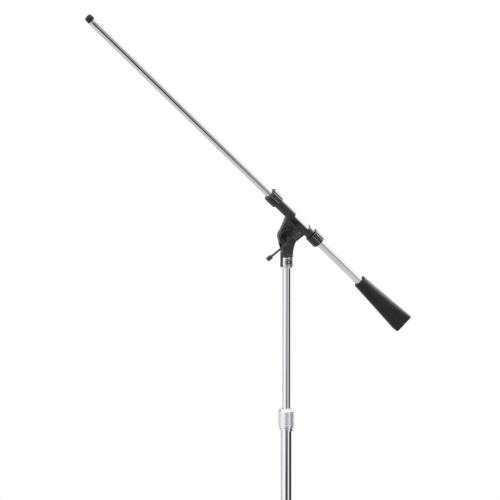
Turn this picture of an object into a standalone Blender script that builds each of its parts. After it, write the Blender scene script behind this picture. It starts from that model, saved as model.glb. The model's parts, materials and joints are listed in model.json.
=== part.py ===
"""Boom microphone stand: a round base, a two-stage column with a clutch, a clamped
swivel and a counterweighted boom. Metres, +Z up, origin under the base on the column's axis.
The boom lies in the XZ plane, its microphone end toward -X, and the clamp's T-bar is at the front, -Y."""

import math

import bmesh
import bpy
from mathutils import Matrix, Vector

MM = 0.001
GAP = 0.3 * MM  # between touching pieces
RUNNING = 0.35 * MM  # between a tube and what it slides or turns in
WELD = 0.005 * MM
TURN_MERGE = 0.01 * MM

# driving dimensions: the column
BASE_RADIUS = 127 * MM
BASE_EDGE_HEIGHT = 9 * MM
PAD_THICKNESS = 3 * MM
HUB_RADIUS = 21 * MM
HUB_TOP = 34 * MM
LOWER_TUBE_RADIUS = 10.8 * MM
LOWER_TUBE_WALL = 1.3 * MM
LOWER_TUBE_TOP = 842 * MM
UPPER_TUBE_RADIUS = 7.95 * MM
TUBE_WALL = 1.2 * MM
UPPER_TUBE_LENGTH = 790 * MM
THREAD_RADIUS = 7.5 * MM
CLUTCH_BOTTOM = 818 * MM
CLUTCH_TOP = 860 * MM
CLUTCH_RADIUS = 15.3 * MM
PIVOT_HEIGHT = 1193 * MM

# driving dimensions: the swivel, heights measured from the pivot
SOCKET_RADIUS = 12.2 * MM
SOCKET_BOTTOM = -59.2 * MM
SOCKET_RIM = -36.2 * MM
SCOOP_TOP = -28 * MM
SLOT_BOTTOM = -23 * MM
CHEEK_RADIUS = 16.5 * MM
CHEEK_OUTER = 10.4 * MM
CHEEK_INNER = 7.7 * MM
WAIST_HALF_WIDTH = 10.0 * MM
TONGUE_RADIUS = 17.3 * MM
TONGUE_HALF_THICKNESS = 6.6 * MM
PIN_REACH = 20 * MM  # half the length of the cutter for the pivot's hole
WASHER_THICKNESS = 1.6 * MM

# driving dimensions: the boom, whose local +Z runs toward the microphone
BOOM_TILT = math.radians(45.5)
BOOM_OFFSET = 35.2 * MM
BOOM_RADIUS = 7.95 * MM
BOOM_TOP = 576 * MM
MIC_FITTING_TIP = 585.4 * MM
BOOM_BOTTOM = -198 * MM
SLEEVE_RADIUS = 10.7 * MM
SLEEVE_THREAD_RADIUS = 10.1 * MM
SLEEVE_THREAD_LENGTH = 16 * MM
GRIP_RADIUS = 13.9 * MM
GRIP_LENGTH = 23 * MM
GRIP_LOBES = 10
MIC_GRIP_INNER = 60 * MM
WEIGHT_GRIP_INNER = -32 * MM
WINDOW_TOP = 21 * MM
WINDOW_BOTTOM = -19 * MM
WEIGHT_TOP = -168 * MM
WEIGHT_BOTTOM = -288 * MM
WEIGHT_SMALL_RADIUS = 12.5 * MM
WEIGHT_HALF_SIDE = 19.8 * MM

# driving dimensions: the T-bar screw, whose local +Z runs to the front from the column's axis
SCREW_RADIUS = 4.0 * MM
SCREW_HEAD_RADIUS = 8.0 * MM
SCREW_HEAD_BACK = 22.5 * MM
SCREW_HEAD_FRONT = 40 * MM
T_BAR_PLANE = 31 * MM
T_BAR_ANGLE = math.radians(37)
T_BAR_RADIUS = 2.0 * MM
T_BAR_LOW_END = 59 * MM
T_BAR_HIGH_END = 21.5 * MM
KNOB_RADIUS = 4.2 * MM
KNOB_LENGTH = 11 * MM

FINE = 48  # sides of a large round
MEDIUM = 32
SMALL = 20


def clear_scene():
    for old in list(bpy.data.objects):
        bpy.data.objects.remove(old, do_unlink=True)


def new_collection(name):
    collection = bpy.data.collections.new(name)
    bpy.context.scene.collection.children.link(collection)
    return collection


def finish(name, color, roughness, metallic):
    material = bpy.data.materials.new(name)
    material.use_nodes = True
    shader = material.node_tree.nodes["Principled BSDF"]
    shader.inputs["Base Color"].default_value = (*color, 1)
    shader.inputs["Roughness"].default_value = roughness
    shader.inputs["Metallic"].default_value = metallic
    return material


clear_scene()
STAND = new_collection("boom_microphone_stand")
CUTTERS = new_collection("cutters")

CHROME = finish("chrome", (0.8, 0.8, 0.82), 0.08, 1.0)
BLACK_PAINT = finish("black_paint", (0.02, 0.02, 0.021), 0.32, 0.0)
BLACK_IRON = finish("black_iron", (0.025, 0.025, 0.026), 0.45, 0.0)
BLACK_STEEL = finish("black_steel", (0.03, 0.028, 0.022), 0.35, 0.6)
STEEL = finish("steel", (0.5, 0.5, 0.5), 0.3, 1.0)
BRASS = finish("brass", (0.6, 0.45, 0.2), 0.3, 1.0)
FIBRE = finish("fibre", (0.12, 0.05, 0.02), 0.8, 0.0)
NYLON = finish("nylon", (0.6, 0.58, 0.52), 0.5, 0.0)
RUBBER = finish("rubber", (0.02, 0.02, 0.02), 0.85, 0.0)


def frame_empty(name, location, rotation):
    empty = bpy.data.objects.new(name, None)
    empty.location = location
    empty.rotation_euler = rotation
    STAND.objects.link(empty)
    return empty


def boom_point(along, above=0.0):
    """A world point from its place along the boom, toward the microphone, and above its axis."""
    foot = BOOM_OFFSET + above
    return Vector((
        foot * math.sin(BOOM_TILT) - along * math.cos(BOOM_TILT),
        0,
        PIVOT_HEIGHT + foot * math.cos(BOOM_TILT) + along * math.sin(BOOM_TILT),
    ))


COLUMN_AXIS = frame_empty("column_axis", (0, 0, 0), (0, 0, 0))
PIVOT_AXIS = frame_empty("pivot_axis", (0, 0, PIVOT_HEIGHT), (math.pi / 2, 0, 0))
BOOM_AXIS = frame_empty("boom_axis", boom_point(0), (0, BOOM_TILT - math.pi / 2, 0))


def place(obj, parent, material, collection=STAND):
    collection.objects.link(obj)
    obj.parent = parent
    if material:
        obj.data.materials.append(material)
    else:
        obj.hide_render = True
        obj.display_type = "WIRE"
    return obj


def turned(name, profile, parent, material, sides=MEDIUM, closed=True):
    """A profile of (radius, height) points, top to bottom on its outer side, turned about local Z."""
    mesh = bpy.data.meshes.new(name)
    points = [(radius, 0, height) for radius, height in profile]
    edges = [(i, i + 1) for i in range(len(points) - 1)]
    if closed:
        edges.append((len(points) - 1, 0))
    mesh.from_pydata(points, edges, [])
    obj = bpy.data.objects.new(name, mesh)
    screw = obj.modifiers.new("turn", "SCREW")
    screw.axis = "Z"
    screw.angle = math.tau
    screw.steps = sides
    screw.render_steps = sides
    screw.use_merge_vertices = True
    screw.merge_threshold = TURN_MERGE
    screw.use_smooth_shade = True
    return place(obj, parent, material, STAND if material else CUTTERS)


def ring(name, inner, outer, bottom, top, parent, material, sides=MEDIUM, chamfer=0.0):
    """A plain turned ring, with its outer edges broken by a chamfer."""
    profile = [(inner, top), (outer - chamfer, top)]
    if chamfer:
        profile += [(outer, top - chamfer), (outer, bottom + chamfer)]
        profile.append((outer - chamfer, bottom))
    else:
        profile.append((outer, bottom))
    profile.append((inner, bottom))
    return turned(name, profile, parent, material, sides)


def rod(name, radius, bottom, top, parent, material, sides=SMALL, chamfer=0.0):
    """A solid turned bar, from its top face's centre to its bottom face's centre."""
    profile = [(0, top), (radius - chamfer, top)]
    if chamfer:
        profile += [(radius, top - chamfer), (radius, bottom + chamfer)]
        profile.append((radius - chamfer, bottom))
    else:
        profile.append((radius, bottom))
    profile.append((0, bottom))
    return turned(name, profile, parent, material, sides, closed=False)


def meshed(curve):
    """The mesh object that stands for a curve, with its caps welded, so that it can be cut."""
    bpy.context.view_layer.update()
    evaluated = curve.evaluated_get(bpy.context.evaluated_depsgraph_get())
    mesh = bpy.data.meshes.new_from_object(evaluated)
    edit = bmesh.new()
    edit.from_mesh(mesh)
    bmesh.ops.remove_doubles(edit, verts=edit.verts, dist=WELD)
    edit.to_mesh(mesh)
    edit.free()
    name = curve.name
    solid = bpy.data.objects.new(name + "_solid", mesh)
    curve.users_collection[0].objects.link(solid)
    solid.parent = curve.parent
    solid.hide_render = curve.hide_render
    solid.display_type = curve.display_type
    bpy.data.objects.remove(curve)
    solid.name = name
    return solid


def plate(name, outline, half_thickness, parent, material, holes=()):
    """A flat outline in local XY, with holes, made solid by half its thickness each way along Z."""
    curve = bpy.data.curves.new(name, "CURVE")
    curve.dimensions = "2D"
    curve.fill_mode = "BOTH"
    curve.extrude = half_thickness
    for loop in (outline, *holes):
        spline = curve.splines.new("POLY")
        spline.points.add(len(loop) - 1)
        for point, (x, y) in zip(spline.points, loop):
            point.co = (x, y, 0, 1)
        spline.use_cyclic_u = True
    obj = bpy.data.objects.new(name, curve)
    place(obj, parent, material, STAND if material else CUTTERS)
    return meshed(obj)


def block(name, low, high, parent):
    """A box cutter between two corners in its parent's frame."""
    mesh = bpy.data.meshes.new(name)
    edit = bmesh.new()
    bmesh.ops.create_cube(edit, size=1)
    size = [b - a for a, b in zip(low, high)]
    middle = [(a + b) / 2 for a, b in zip(low, high)]
    bmesh.ops.scale(edit, vec=size, verts=edit.verts)
    bmesh.ops.translate(edit, vec=middle, verts=edit.verts)
    edit.to_mesh(mesh)
    edit.free()
    return place(bpy.data.objects.new(name, mesh), parent, None, CUTTERS)


def combine(target, operation, other):
    modifier = target.modifiers.new(operation.lower(), "BOOLEAN")
    modifier.operation = operation
    modifier.solver = "EXACT"
    modifier.object = other
    return modifier


def cut(target, other):
    combine(target, "DIFFERENCE", other)


def arc(radius, start, end, count, center=(0, 0)):
    """Points on an arc between two angles in degrees."""
    steps = [math.radians(start + (end - start) * i / (count - 1)) for i in range(count)]
    return [(center[0] + radius * math.cos(a), center[1] + radius * math.sin(a)) for a in steps]


def circle(radius, count, center=(0, 0)):
    return arc(radius, 0, 360 * (1 - 1 / count), count, center)


def soften(obj, width, segments=2, angle=40):
    bevel = obj.modifiers.new("softened edges", "BEVEL")
    bevel.width = width
    bevel.segments = segments
    bevel.limit_method = "ANGLE"
    bevel.angle_limit = math.radians(angle)
    return bevel


def shade(obj, angle=35):
    obj.data.shade_smooth()
    obj.data.set_sharp_from_angle(angle=math.radians(angle))


# ---------------------------------------------------------------- base


def build_base():
    """A cast disc with a low crown, hollow underneath, on a rubber pad."""
    bore = THREAD_RADIUS + RUNNING
    seat = LOWER_TUBE_RADIUS + GAP
    seat_floor = HUB_TOP - 8 * MM
    floor = PAD_THICKNESS + GAP
    recess_top = floor + 5 * MM
    pocket_top = floor + 12 * MM
    pocket = 17 * MM
    crown_start = HUB_RADIUS + 2 * MM
    crown_width = BASE_RADIUS - 6 * MM - HUB_RADIUS
    crown_rise = 11 * MM
    crown_bend = 1.6
    crown_steps = 5
    rim_top = floor + BASE_EDGE_HEIGHT
    crown = [(crown_start, HUB_TOP - 8 * MM)]
    for i in range(1, crown_steps + 1):
        share = i / crown_steps
        crown.append((crown_start + crown_width * share, rim_top + crown_rise * (1 - share) ** crown_bend))
    profile = [
        (seat, HUB_TOP),
        (HUB_RADIUS - 2 * MM, HUB_TOP),
        (HUB_RADIUS, HUB_TOP - 2 * MM),
        *crown,
        (BASE_RADIUS - 1 * MM, rim_top - 2 * MM),
        (BASE_RADIUS, rim_top - 4 * MM),
        (BASE_RADIUS, floor + 1.5 * MM),
        (BASE_RADIUS - 1.5 * MM, floor),
        (BASE_RADIUS - 14 * MM, floor),
        (BASE_RADIUS - 18 * MM, recess_top),
        (24 * MM, recess_top),
        (22 * MM, floor),
        (pocket, floor),
        (pocket, pocket_top),
        (bore, pocket_top),
        (bore, seat_floor),
        (seat, seat_floor),
    ]
    turned("base_casting", profile, COLUMN_AXIS, BLACK_IRON, FINE)

    pad_radius = BASE_RADIUS - 2 * MM
    rod("base_pad", pad_radius, 0, PAD_THICKNESS, COLUMN_AXIS, RUBBER, FINE, 0.6 * MM)

    washer_top = pocket_top - GAP
    washer_bottom = washer_top - WASHER_THICKNESS
    ring("base_washer", bore, 14 * MM, washer_bottom, washer_top, COLUMN_AXIS, STEEL, SMALL)
    nut_half = 3.5 * MM
    nut = plate("base_nut", circle(12.5 * MM, 6), nut_half, COLUMN_AXIS, STEEL, [circle(bore, SMALL)])
    nut.location = (0, 0, washer_bottom - GAP - nut_half)

    tube_bore = LOWER_TUBE_RADIUS - LOWER_TUBE_WALL - GAP
    tube_bottom = seat_floor + GAP
    stud_top = tube_bottom + 24 * MM
    stud_bottom = floor + 1.5 * MM
    profile = [
        (0, stud_top),
        (tube_bore - 1 * MM, stud_top),
        (tube_bore, stud_top - 1 * MM),
        (tube_bore, tube_bottom),
        (THREAD_RADIUS, tube_bottom),
        (THREAD_RADIUS, stud_bottom),
        (0, stud_bottom),
    ]
    turned("base_stud", profile, COLUMN_AXIS, STEEL, SMALL, closed=False)

    ring_bottom = HUB_TOP + GAP
    ring_top = ring_bottom + 11 * MM
    ring_radius = 17.5 * MM
    profile = [
        (seat, ring_top),
        (ring_radius - 3.5 * MM, ring_top),
        (ring_radius - 2 * MM, ring_top - 1.5 * MM),
        (ring_radius, ring_bottom + 1 * MM),
        (ring_radius - 0.5 * MM, ring_bottom),
        (seat, ring_bottom),
    ]
    turned("base_lock_ring", profile, COLUMN_AXIS, CHROME, MEDIUM)
    return tube_bottom


# ---------------------------------------------------------------- column


def build_column(tube_bottom):
    lower_bore = LOWER_TUBE_RADIUS - LOWER_TUBE_WALL
    ring("lower_tube", lower_bore, LOWER_TUBE_RADIUS, tube_bottom, LOWER_TUBE_TOP,
         COLUMN_AXIS, CHROME, MEDIUM)

    body_bore = LOWER_TUBE_RADIUS + GAP
    step_top = CLUTCH_BOTTOM + 5 * MM
    body_top = CLUTCH_BOTTOM + 20 * MM
    thread = 12.4 * MM
    lip = 13.1 * MM
    profile = [
        (body_bore, body_top),
        (thread, body_top),
        (thread, step_top),
        (lip, step_top),
        (lip, CLUTCH_BOTTOM + 0.6 * MM),
        (lip - 0.6 * MM, CLUTCH_BOTTOM),
        (body_bore, CLUTCH_BOTTOM),
    ]
    turned("clutch_body", profile, COLUMN_AXIS, CHROME, MEDIUM)

    neck = UPPER_TUBE_RADIUS + RUNNING
    grip_bottom = step_top + GAP
    chamber = 11.5 * MM
    shoulder = 13.6 * MM
    profile = [
        (neck, CLUTCH_TOP),
        (shoulder - 1 * MM, CLUTCH_TOP),
        (shoulder, CLUTCH_TOP - 1 * MM),
        (CLUTCH_RADIUS, CLUTCH_TOP - 4.5 * MM),
        (CLUTCH_RADIUS, grip_bottom + 2 * MM),
        (CLUTCH_RADIUS - 1.2 * MM, grip_bottom),
        (thread + GAP, grip_bottom),
        (thread + GAP, body_top + 2 * MM),
        (chamber, body_top + 4 * MM),
        (chamber, CLUTCH_TOP - 10 * MM),
        (neck + 0.4 * MM, CLUTCH_TOP - 4 * MM),
        (neck, CLUTCH_TOP - 3.6 * MM),
    ]
    turned("clutch_grip", profile, COLUMN_AXIS, CHROME, FINE)

    bush_bottom = LOWER_TUBE_TOP + GAP
    bush_top = bush_bottom + 11 * MM
    bush_radius = chamber - 0.5 * MM
    profile = [
        (neck, bush_top),
        (neck + 0.6 * MM, bush_top),
        (bush_radius, bush_top - 4 * MM),
        (bush_radius, bush_bottom),
        (neck, bush_bottom),
    ]
    bush = turned("clutch_bush", profile, COLUMN_AXIS, NYLON, MEDIUM)
    slit = block("bush_slit", (0, -0.8 * MM, bush_bottom - 1 * MM),
                 (14 * MM, 0.8 * MM, bush_top + 3 * MM), COLUMN_AXIS)
    cut(bush, slit)

    tube_top = PIVOT_HEIGHT + SOCKET_BOTTOM + 2 * MM
    upper_bottom = tube_top - UPPER_TUBE_LENGTH
    upper_bore = UPPER_TUBE_RADIUS - TUBE_WALL
    ring("upper_tube", upper_bore, UPPER_TUBE_RADIUS, upper_bottom, tube_top,
         COLUMN_AXIS, CHROME, MEDIUM)

    plug = upper_bore - GAP
    glide = lower_bore - GAP
    glide_edge = 0.8 * MM
    glide_top = upper_bottom - GAP
    glide_bottom = upper_bottom - 10.8 * MM
    profile = [
        (0, upper_bottom + 14 * MM),
        (plug, upper_bottom + 14 * MM),
        (plug, glide_top),
        (glide - glide_edge, glide_top),
        (glide, glide_top - glide_edge),
        (glide, glide_bottom + glide_edge),
        (glide - glide_edge, glide_bottom),
        (0, glide_bottom),
    ]
    turned("tube_glide", profile, COLUMN_AXIS, NYLON, MEDIUM, closed=False)

    stud_top = tube_top + 13 * MM
    profile = [
        (0, stud_top),
        (THREAD_RADIUS - 0.8 * MM, stud_top),
        (THREAD_RADIUS, stud_top - 1 * MM),
        (THREAD_RADIUS, tube_top + GAP),
        (plug, tube_top + GAP),
        (plug, tube_top - 20 * MM),
        (0, tube_top - 20 * MM),
    ]
    turned("top_stud", profile, COLUMN_AXIS, STEEL, SMALL, closed=False)


# ---------------------------------------------------------------- swivel


def build_swivel_socket():
    """Socket, neck and two cheeks in one casting, slotted for the cradle's tongue."""
    neck_bottom = SOCKET_RIM - 2 * MM
    outline = [
        *arc(CHEEK_RADIUS, 215, -35, 25),
        (WAIST_HALF_WIDTH + 1.6 * MM, -20 * MM),
        (WAIST_HALF_WIDTH, SCOOP_TOP),
        (WAIST_HALF_WIDTH, neck_bottom),
        (-WAIST_HALF_WIDTH, neck_bottom),
        (-WAIST_HALF_WIDTH, SCOOP_TOP),
        (-WAIST_HALF_WIDTH - 1.6 * MM, -20 * MM),
    ]
    socket = plate("swivel_socket", outline, CHEEK_OUTER, PIVOT_AXIS, BLACK_PAINT)
    soften(socket, 2.2 * MM, 3, 50)

    socket_axis = frame_empty("socket_axis", (0, 0, PIVOT_HEIGHT), (0, 0, 0))
    corner_reach = 18 * MM
    trim_top = SCOOP_TOP + 2.5 * MM
    trim_bottom = neck_bottom - 2 * MM
    trim_profile = [
        (SOCKET_RADIUS + 5.5 * MM, trim_top),
        (corner_reach, trim_top),
        (corner_reach, trim_bottom),
        (SOCKET_RADIUS - 0.6 * MM, trim_bottom),
        (SOCKET_RADIUS - 0.6 * MM, SOCKET_RIM + 0.5 * MM),
        (SOCKET_RADIUS + 0.6 * MM, SOCKET_RIM + 4 * MM),
    ]
    cut(socket, turned("corner_trim", trim_profile, socket_axis, None, FINE))

    barrel_top = SCOOP_TOP - 0.5 * MM
    barrel_profile = [
        (0, barrel_top),
        (SOCKET_RADIUS - 2.6 * MM, barrel_top),
        (SOCKET_RADIUS, SCOOP_TOP - 2.6 * MM),
        (SOCKET_RADIUS, SOCKET_BOTTOM + 1.2 * MM),
        (SOCKET_RADIUS - 1 * MM, SOCKET_BOTTOM),
        (0, SOCKET_BOTTOM),
    ]
    barrel = turned("socket_barrel", barrel_profile, socket_axis, None, FINE, closed=False)
    combine(socket, "UNION", barrel)

    clear = 30 * MM
    slot = block("tongue_slot", (-clear, SLOT_BOTTOM, -CHEEK_INNER), (clear, clear, CHEEK_INNER),
                 PIVOT_AXIS)
    cut(socket, slot)

    scoop_reach = SOCKET_RADIUS + 8 * MM
    scoop = [
        (CHEEK_OUTER, SCOOP_TOP),
        (CHEEK_OUTER, SCOOP_TOP + 6 * MM),
        (scoop_reach, SCOOP_TOP + 6 * MM),
        (scoop_reach, SOCKET_RIM - 4 * MM),
        (SOCKET_RADIUS + 0.6 * MM, SOCKET_RIM - 1.6 * MM),
    ]
    for name, side in (("front_scoop", -1), ("rear_scoop", 1)):
        cutter = plate(name, scoop, 15 * MM, socket_axis, None)
        cutter.rotation_euler = (math.pi / 2, 0, side * math.pi / 2)
        cut(socket, cutter)

    screw_hole = rod("screw_hole", SCREW_RADIUS + RUNNING, -PIN_REACH, PIN_REACH, PIVOT_AXIS, None)
    cut(socket, screw_hole)
    bore_top = SOCKET_BOTTOM + 16.5 * MM
    counterbore_top = SOCKET_BOTTOM + 4 * MM
    counterbore = UPPER_TUBE_RADIUS + RUNNING
    thread = THREAD_RADIUS + RUNNING
    bore_profile = [
        (0, bore_top),
        (thread, bore_top),
        (thread, counterbore_top),
        (counterbore, counterbore_top),
        (counterbore, SOCKET_BOTTOM - 3 * MM),
        (0, SOCKET_BOTTOM - 3 * MM),
    ]
    cut(socket, turned("socket_bore", bore_profile, socket_axis, None, MEDIUM, closed=False))
    shade(socket)


def build_cradle():
    """Tongue and web as one plate, and a split sleeve along its top, in one casting."""
    foot = -BOOM_OFFSET
    sleeve_side = -SLEEVE_RADIUS + 3 * MM
    disc = arc(TONGUE_RADIUS, 100, 268, 19, (foot, 0))
    outline = [
        *disc,
        (foot + 8 * MM, -19.8 * MM),
        (sleeve_side - 2 * MM, -21.5 * MM),
        (sleeve_side, -22.5 * MM),
        (sleeve_side, 28.5 * MM),
        (sleeve_side - 2.5 * MM, 27 * MM),
        (foot + 9 * MM, 21.3 * MM),
    ]
    cradle = plate("boom_cradle", outline, TONGUE_HALF_THICKNESS, BOOM_AXIS, BLACK_PAINT)
    cradle.rotation_euler = (math.pi / 2, 0, 0)
    soften(cradle, 0.8 * MM, 2, 50)

    thread_top = MIC_GRIP_INNER + SLEEVE_THREAD_LENGTH
    thread_bottom = WEIGHT_GRIP_INNER - SLEEVE_THREAD_LENGTH
    sleeve_profile = [
        (0, thread_top),
        (SLEEVE_THREAD_RADIUS, thread_top),
        (SLEEVE_THREAD_RADIUS, MIC_GRIP_INNER - 0.5 * MM),
        (SLEEVE_RADIUS, MIC_GRIP_INNER - 1.2 * MM),
        (SLEEVE_RADIUS, WEIGHT_GRIP_INNER + 1.2 * MM),
        (SLEEVE_THREAD_RADIUS, WEIGHT_GRIP_INNER + 0.5 * MM),
        (SLEEVE_THREAD_RADIUS, thread_bottom),
        (0, thread_bottom),
    ]
    sleeve = turned("sleeve_solid", sleeve_profile, BOOM_AXIS, None, FINE, closed=False)
    combine(cradle, "UNION", sleeve)

    bore = rod("sleeve_bore", BOOM_RADIUS + RUNNING, thread_bottom - 5 * MM, thread_top + 5 * MM,
               BOOM_AXIS, None, MEDIUM)
    cut(cradle, bore)

    rail = 1.0 * MM
    clear = 20 * MM
    window_outline = [
        (rail, WINDOW_TOP - 4 * MM),
        (clear, WINDOW_TOP + 3 * MM),
        (clear, WINDOW_BOTTOM - 1 * MM),
        (rail, WINDOW_BOTTOM + 1 * MM),
    ]
    window = plate("sleeve_window", window_outline, 15 * MM, BOOM_AXIS, None)
    window.rotation_euler = (math.pi / 2, 0, 0)
    cut(cradle, window)

    slit_angle = math.radians(-109)
    slit_half = 0.5 * MM
    for name, low, high in (
        ("mic_side_slit", WINDOW_TOP + 4 * MM, thread_top + 2 * MM),
        ("weight_side_slit", thread_bottom - 2 * MM, WINDOW_BOTTOM - 4 * MM),
    ):
        slit = block(name, (BOOM_RADIUS - 1 * MM, -slit_half, low), (14 * MM, slit_half, high), BOOM_AXIS)
        slit.rotation_euler = (0, 0, slit_angle)
        cut(cradle, slit)

    hole = rod("tongue_hole", SCREW_RADIUS + RUNNING, -PIN_REACH, PIN_REACH, PIVOT_AXIS, None)
    cut(cradle, hole)
    shade(cradle)


def build_clamp():
    """Friction washers, the cross-drilled screw, its washer and nut, and the T-bar."""
    hole = SCREW_RADIUS + RUNNING
    washer_inner = TONGUE_HALF_THICKNESS + GAP
    washer_outer = CHEEK_INNER - GAP
    ring("front_friction_washer", hole, 15 * MM, washer_inner, washer_outer, PIVOT_AXIS, FIBRE)
    ring("rear_friction_washer", hole, 15 * MM, -washer_outer, -washer_inner, PIVOT_AXIS, FIBRE)

    washer_back = CHEEK_OUTER + GAP
    washer_front = washer_back + WASHER_THICKNESS
    ring("clamp_washer", hole, 8.8 * MM, washer_back, washer_front, PIVOT_AXIS, BLACK_STEEL,
         MEDIUM, 0.3 * MM)
    collar_back = washer_front + GAP
    collar = 6.0 * MM
    screw_end = -19.3 * MM
    profile = [
        (0, SCREW_HEAD_FRONT),
        (4.6 * MM, SCREW_HEAD_FRONT - 0.2 * MM),
        (6.8 * MM, SCREW_HEAD_FRONT - 0.9 * MM),
        (SCREW_HEAD_RADIUS, SCREW_HEAD_FRONT - 2.2 * MM),
        (SCREW_HEAD_RADIUS, SCREW_HEAD_BACK + 0.8 * MM),
        (SCREW_HEAD_RADIUS - 0.8 * MM, SCREW_HEAD_BACK),
        (collar, SCREW_HEAD_BACK - 1.5 * MM),
        (collar, collar_back),
        (SCREW_RADIUS, collar_back),
        (SCREW_RADIUS, screw_end + 0.8 * MM),
        (SCREW_RADIUS - 0.8 * MM, screw_end),
        (0, screw_end),
    ]
    screw = turned("clamp_screw", profile, PIVOT_AXIS, BLACK_STEEL, MEDIUM, closed=False)
    turn = Matrix.Rotation(T_BAR_ANGLE, 3, "Z") @ Matrix.Rotation(math.pi / 2, 3, "Y")
    bar_axis = frame_empty("t_bar_axis", (0, 0, T_BAR_PLANE), turn.to_euler())
    bar_axis.parent = PIVOT_AXIS
    cross_hole = rod("cross_hole", T_BAR_RADIUS + RUNNING, -15 * MM, 15 * MM, bar_axis, None)
    cut(screw, cross_hole)
    shade(screw)

    nut_half = 3.2 * MM
    nut = plate("clamp_nut", circle(7.5 * MM, 6), nut_half, PIVOT_AXIS, BLACK_STEEL,
                [circle(hole, SMALL)])
    nut.location = (0, 0, -CHEEK_OUTER - GAP - nut_half)
    soften(nut, 0.4 * MM, 1)

    cap = 1.2 * MM
    edge = 0.6 * MM
    low_end = -T_BAR_LOW_END
    knob_bore = T_BAR_RADIUS + GAP
    knob_start = low_end + KNOB_LENGTH
    rod("t_bar", T_BAR_RADIUS, low_end + cap, T_BAR_HIGH_END, bar_axis, BLACK_STEEL, SMALL, 0.5 * MM)
    profile = [
        (knob_bore, knob_start),
        (KNOB_RADIUS - edge, knob_start),
        (KNOB_RADIUS, knob_start - edge),
        (KNOB_RADIUS, low_end + cap),
        (KNOB_RADIUS - cap, low_end),
        (0, low_end),
        (0, low_end + cap - GAP),
        (knob_bore, low_end + cap - GAP),
    ]
    turned("t_bar_knob_low", profile, bar_axis, BLACK_STEEL, SMALL, closed=True)
    high_start = SCREW_HEAD_RADIUS + 1.2 * MM
    ring("t_bar_knob_high", knob_bore, KNOB_RADIUS, high_start, high_start + KNOB_LENGTH,
         bar_axis, BLACK_STEEL, SMALL, edge)


def grip_outline():
    """Flat lobes with a narrow groove between each two, one groove facing the front."""
    points = []
    half_lobe = math.pi / GRIP_LOBES
    flat = 0.8  # the share of a lobe between its corners
    middle = GRIP_RADIUS * math.cos(flat * half_lobe)
    groove = GRIP_RADIUS - 1.4 * MM
    for i in range(GRIP_LOBES):
        lobe = math.tau * (i + 0.5) / GRIP_LOBES - math.pi / 2
        for share in (-flat, 0, flat):
            angle = lobe + share * half_lobe
            radius = middle / math.cos(share * half_lobe)
            points.append((radius * math.cos(angle), radius * math.sin(angle)))
        angle = lobe + half_lobe
        points.append((groove * math.cos(angle), groove * math.sin(angle)))
    return points


def build_grip(name, inner_end, outward):
    """A grip nut: lobed outside, bored for the sleeve's thread, with a smaller hole in its end."""
    half = GRIP_LENGTH / 2
    grip = plate(name, grip_outline(), half, BOOM_AXIS, BLACK_PAINT)
    grip.location = (0, 0, inner_end + outward * half)
    soften(grip, 1.0 * MM, 2, 80)
    bore = SLEEVE_THREAD_RADIUS + GAP
    hole = BOOM_RADIUS + 0.5 * MM
    clear = 2 * MM
    cone_start = inner_end + outward * (GRIP_LENGTH - 6 * MM)
    cone_end = inner_end + outward * (GRIP_LENGTH - 2.4 * MM)
    profile = [
        (bore, inner_end - outward * clear),
        (bore, cone_start),
        (hole + 0.6 * MM, cone_end),
        (hole, cone_end),
        (hole, inner_end + outward * (GRIP_LENGTH + clear)),
    ]
    if outward > 0:
        profile.reverse()
    profile = [(0, profile[0][1]), *profile, (0, profile[-1][1])]
    cutter = turned(name + "_bore", profile, BOOM_AXIS, None, MEDIUM, closed=False)
    cut(grip, cutter)
    shade(grip, 30)

    collet_start = inner_end + outward * (SLEEVE_THREAD_LENGTH + GAP)
    collet_end = collet_start + outward * 3.6 * MM
    inner = BOOM_RADIUS + RUNNING
    outer = SLEEVE_THREAD_RADIUS - 0.1 * MM
    rim = 0.9 * MM
    tapered = [
        (inner, collet_end),
        (inner + rim, collet_end),
        (outer, collet_start + outward * rim),
        (outer, collet_start),
        (inner, collet_start),
    ]
    if outward < 0:
        tapered.reverse()
    side = name.replace("_grip", "")
    collet = turned(side + "_collet", tapered, BOOM_AXIS, BRASS, MEDIUM)
    ends = sorted((collet_start, collet_end))
    slit = block(side + "_collet_slit", (0, -0.7 * MM, ends[0] - 1 * MM),
                 (13 * MM, 0.7 * MM, ends[1] + 1 * MM), BOOM_AXIS)
    cut(collet, slit)


# ---------------------------------------------------------------- boom


def build_boom_tube():
    bore = BOOM_RADIUS - TUBE_WALL
    lip = 0.35 * MM
    profile = [
        (bore, BOOM_TOP),
        (BOOM_RADIUS - 0.3 * MM, BOOM_TOP),
        (BOOM_RADIUS + lip - 0.1 * MM, BOOM_TOP - 0.5 * MM),
        (BOOM_RADIUS + lip, BOOM_TOP - 1.2 * MM),
        (BOOM_RADIUS, BOOM_TOP - 2.2 * MM),
        (BOOM_RADIUS, BOOM_BOTTOM),
        (bore, BOOM_BOTTOM),
    ]
    turned("boom_tube", profile, BOOM_AXIS, CHROME, MEDIUM)
    plug = bore - GAP
    plug_end = BOOM_TOP - 22 * MM
    seat = BOOM_TOP + GAP
    tip_chamfer = 0.9 * MM
    profile = [
        (0, MIC_FITTING_TIP),
        (THREAD_RADIUS - tip_chamfer, MIC_FITTING_TIP),
        (THREAD_RADIUS, MIC_FITTING_TIP - tip_chamfer),
        (THREAD_RADIUS, seat),
        (plug, seat),
        (plug, plug_end),
        (0, plug_end),
    ]
    turned("mic_fitting", profile, BOOM_AXIS, BLACK_STEEL, MEDIUM, closed=False)


def rounded_square(half, corner, count):
    """Points round a square with round corners, at even angles, so that a circle can loft into it."""
    points = []
    for i in range(count):
        angle = math.tau * i / count
        c, s = abs(math.cos(angle)), abs(math.sin(angle))
        inner = half - corner
        reach = half / max(c, s)
        if min(c, s) * reach > inner:
            middle = inner * (c + s)
            reach = middle + math.sqrt(max(0.0, middle**2 - (2 * inner**2 - corner**2)))
        points.append((reach * math.cos(angle), reach * math.sin(angle)))
    return points


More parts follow.
